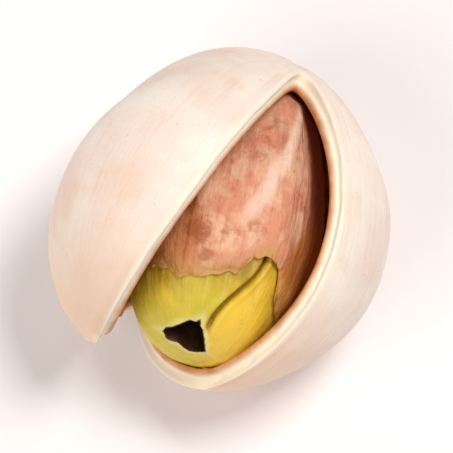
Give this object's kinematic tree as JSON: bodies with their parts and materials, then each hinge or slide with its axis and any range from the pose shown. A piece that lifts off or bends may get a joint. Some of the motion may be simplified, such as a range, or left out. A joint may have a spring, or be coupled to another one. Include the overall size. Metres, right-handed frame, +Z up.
{
  "type": "pistachio in shell",
  "caption": "Roasted pistachio in its split ivory shell, lying on its side with the mouth up, the green seed and its torn pink-brown skin showing inside.",
  "frame": {"origin": "on the surface the nut lies on, under the middle of its box", "axes": "+Z up, -Y towards the open tip, +Y towards the stem end, +X towards the lower, right valve; the mouth faces up and a little to +X"},
  "size_m": [0.015, 0.0156, 0.0139],
  "materials": {
    "shell": "hard, smooth nut shell with a dull sheen, ivory with tan stains, cream along the lips, brown inside",
    "kernel": "bare yellow-green seed, finely wrinkled, slightly waxy",
    "kernel_skin": "thin, papery, wrinkled seed skin, pink-brown with darker patches"
  },
  "bodies": {
    "root": {"shell": "shell", "kernel": "kernel", "kernel_skin": "kernel_skin"}
  },
  "joints": []
}
